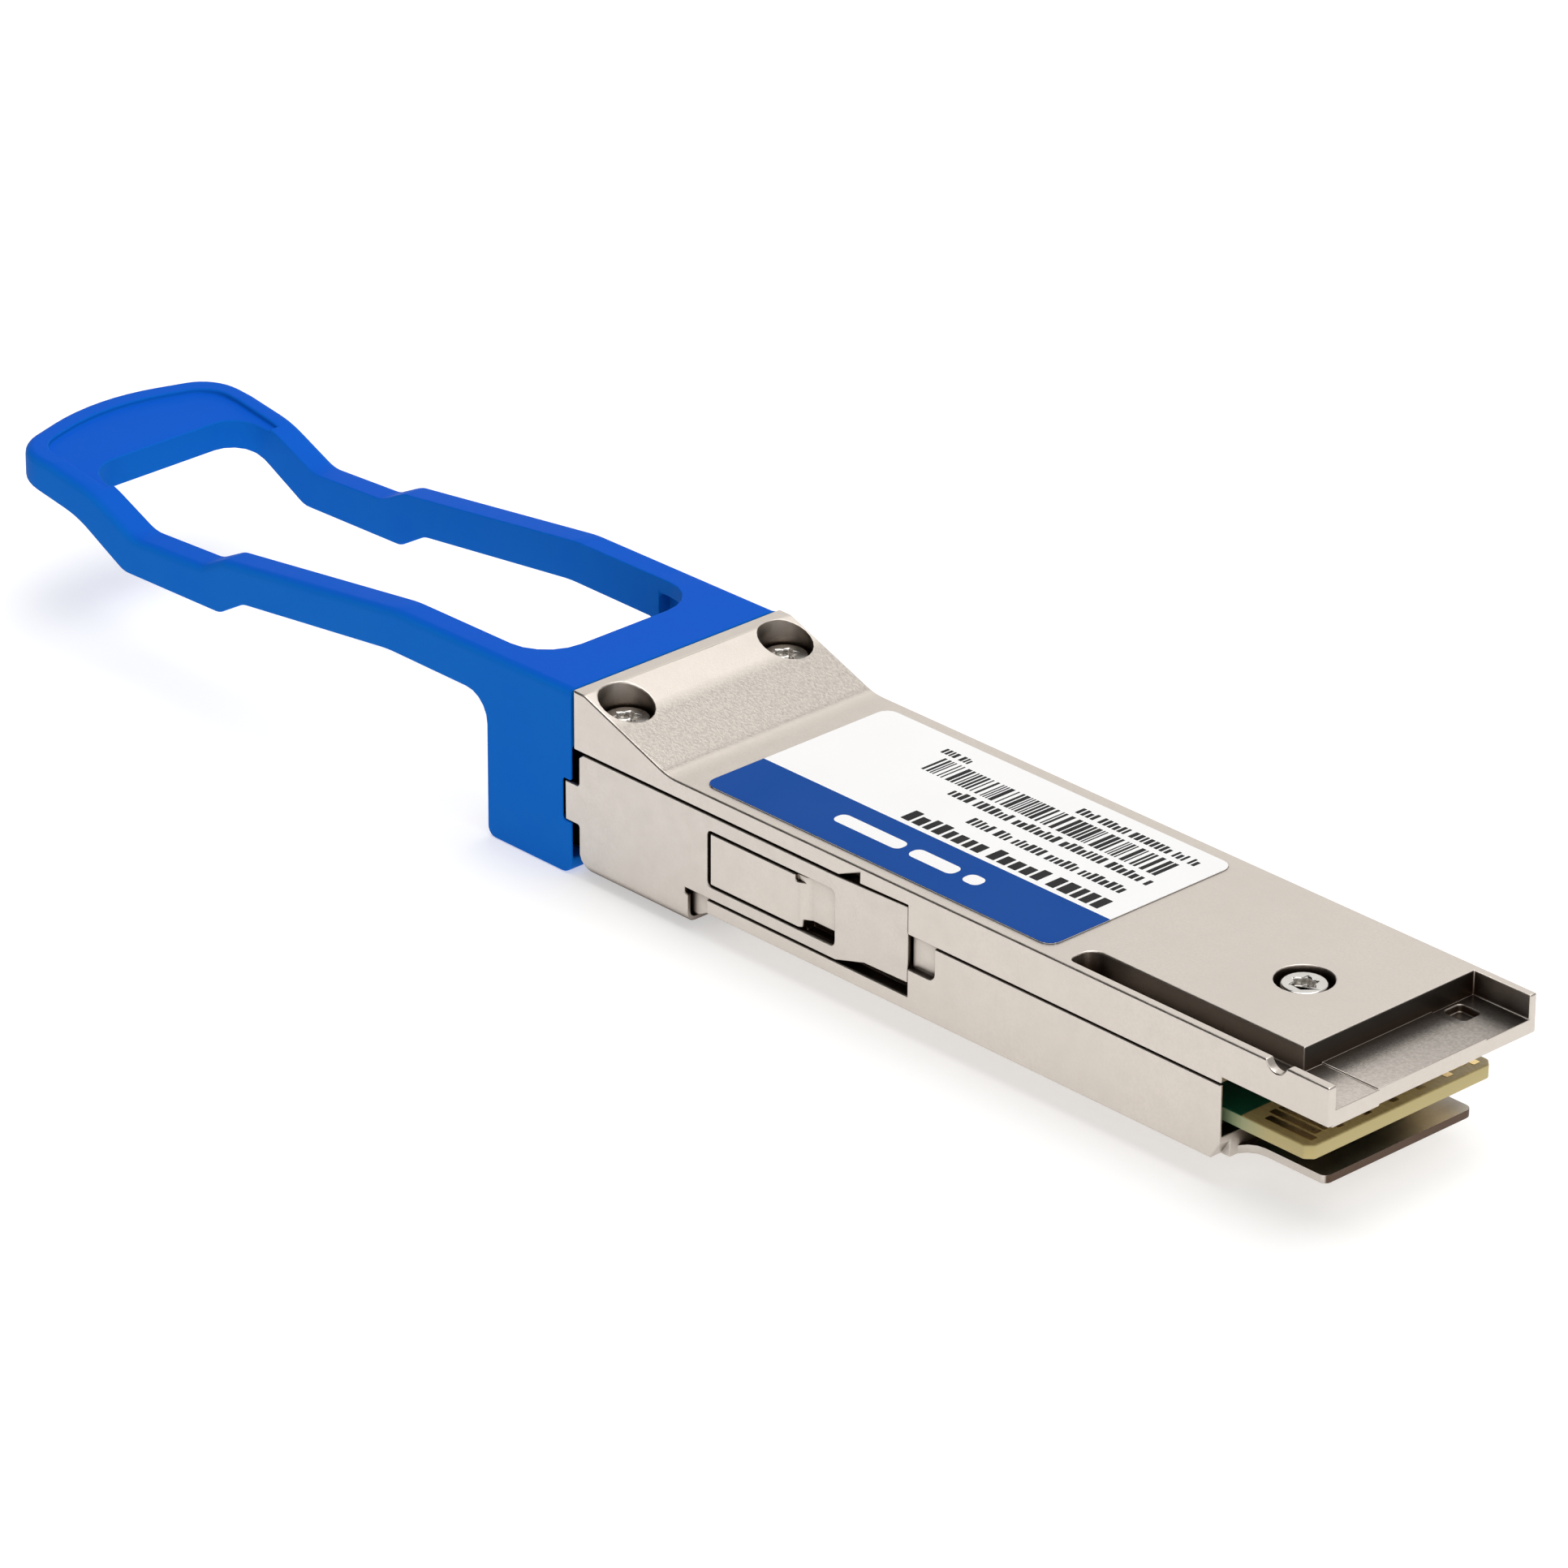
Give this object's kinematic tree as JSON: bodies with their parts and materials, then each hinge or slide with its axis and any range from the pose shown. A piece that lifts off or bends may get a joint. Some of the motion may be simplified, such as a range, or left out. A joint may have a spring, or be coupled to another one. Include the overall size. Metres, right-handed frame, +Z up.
{
  "type": "optical transceiver module",
  "caption": "Flat pluggable fibre-optic transceiver with a duplex port head, card-edge board and a sprung looped pull tab.",
  "frame": {"origin": "under the middle of the whole module, at the height of the collar's underside, which is its lowest face", "axes": "+X along the module towards the card-edge connector, +Y across it, +Z up through the labelled cover"},
  "size_m": [0.1264, 0.0184, 0.0133],
  "materials": {
    "nickel_zinc": "satin nickel plate over die-cast zinc",
    "nickel_sheet": "satin nickel plated sheet steel",
    "screw_steel": "bright zinc plated steel",
    "blue_plastic": "smooth moulded polypropylene",
    "label_film": "printed polyester label",
    "solder_mask": "green solder mask over glass epoxy board",
    "chip_black": "moulded epoxy",
    "ferrite": "moulded ferrite",
    "crystal_can": "bright metal can",
    "capacitor_body": "fired ceramic",
    "gold": "gold plated",
    "stainless": "turned stainless steel",
    "ferrule_ceramic": "ground zirconia",
    "flex_film": "polyimide film",
    "holder_plastic": "moulded plastic",
    "pad_silicone": "soft filled silicone",
    "gasket_rubber": "conductive elastomer",
    "spring_steel": "bright spring wire"
  },
  "bodies": {
    "module": {"top_cover": "nickel_zinc", "base_housing": "nickel_zinc", "label": "label_film", "circuit_board": "solder_mask", "head_screw_near": "screw_steel", "head_screw_far": "screw_steel", "rear_screw": "screw_steel", "clock_recovery_chip": "chip_black", "microcontroller": "chip_black", "laser_driver_chip": "chip_black", "receiver_amplifier_chip": "chip_black", "power_inductor_near": "ferrite", "power_inductor_far": "ferrite", "clock_crystal": "crystal_can", "filter_capacitor_1": "capacitor_body", "filter_capacitor_2": "capacitor_body", "filter_capacitor_3": "capacitor_body", "filter_capacitor_4": "capacitor_body", "thermal_pad_rear": "pad_silicone", "thermal_pad_front": "pad_silicone", "transmitter_receptacle": "stainless", "receiver_receptacle": "stainless", "transmitter_ferrule_sleeve": "ferrule_ceramic", "receiver_ferrule_sleeve": "ferrule_ceramic", "transmitter_optics_box": "gold", "receiver_optics_box": "gold", "transmitter_flex": "flex_film", "receiver_flex": "flex_film", "receptacle_holder": "holder_plastic", "seam_gasket_near": "gasket_rubber", "seam_gasket_far": "gasket_rubber", "return_spring_near": "spring_steel", "return_spring_far": "spring_steel"},
    "release": {"release_slider": "nickel_sheet", "pull_tab": "blue_plastic"}
  },
  "joints": [
    {"name": "release_slide", "type": "slide", "parent": "module", "child": "release", "axis": [-1, 0, 0], "range_m": [0, 0.0022], "stiffness_N_per_m": 400, "springref_m": -0.006, "deforming": ["return_spring_near", "return_spring_far"]}
  ]
}
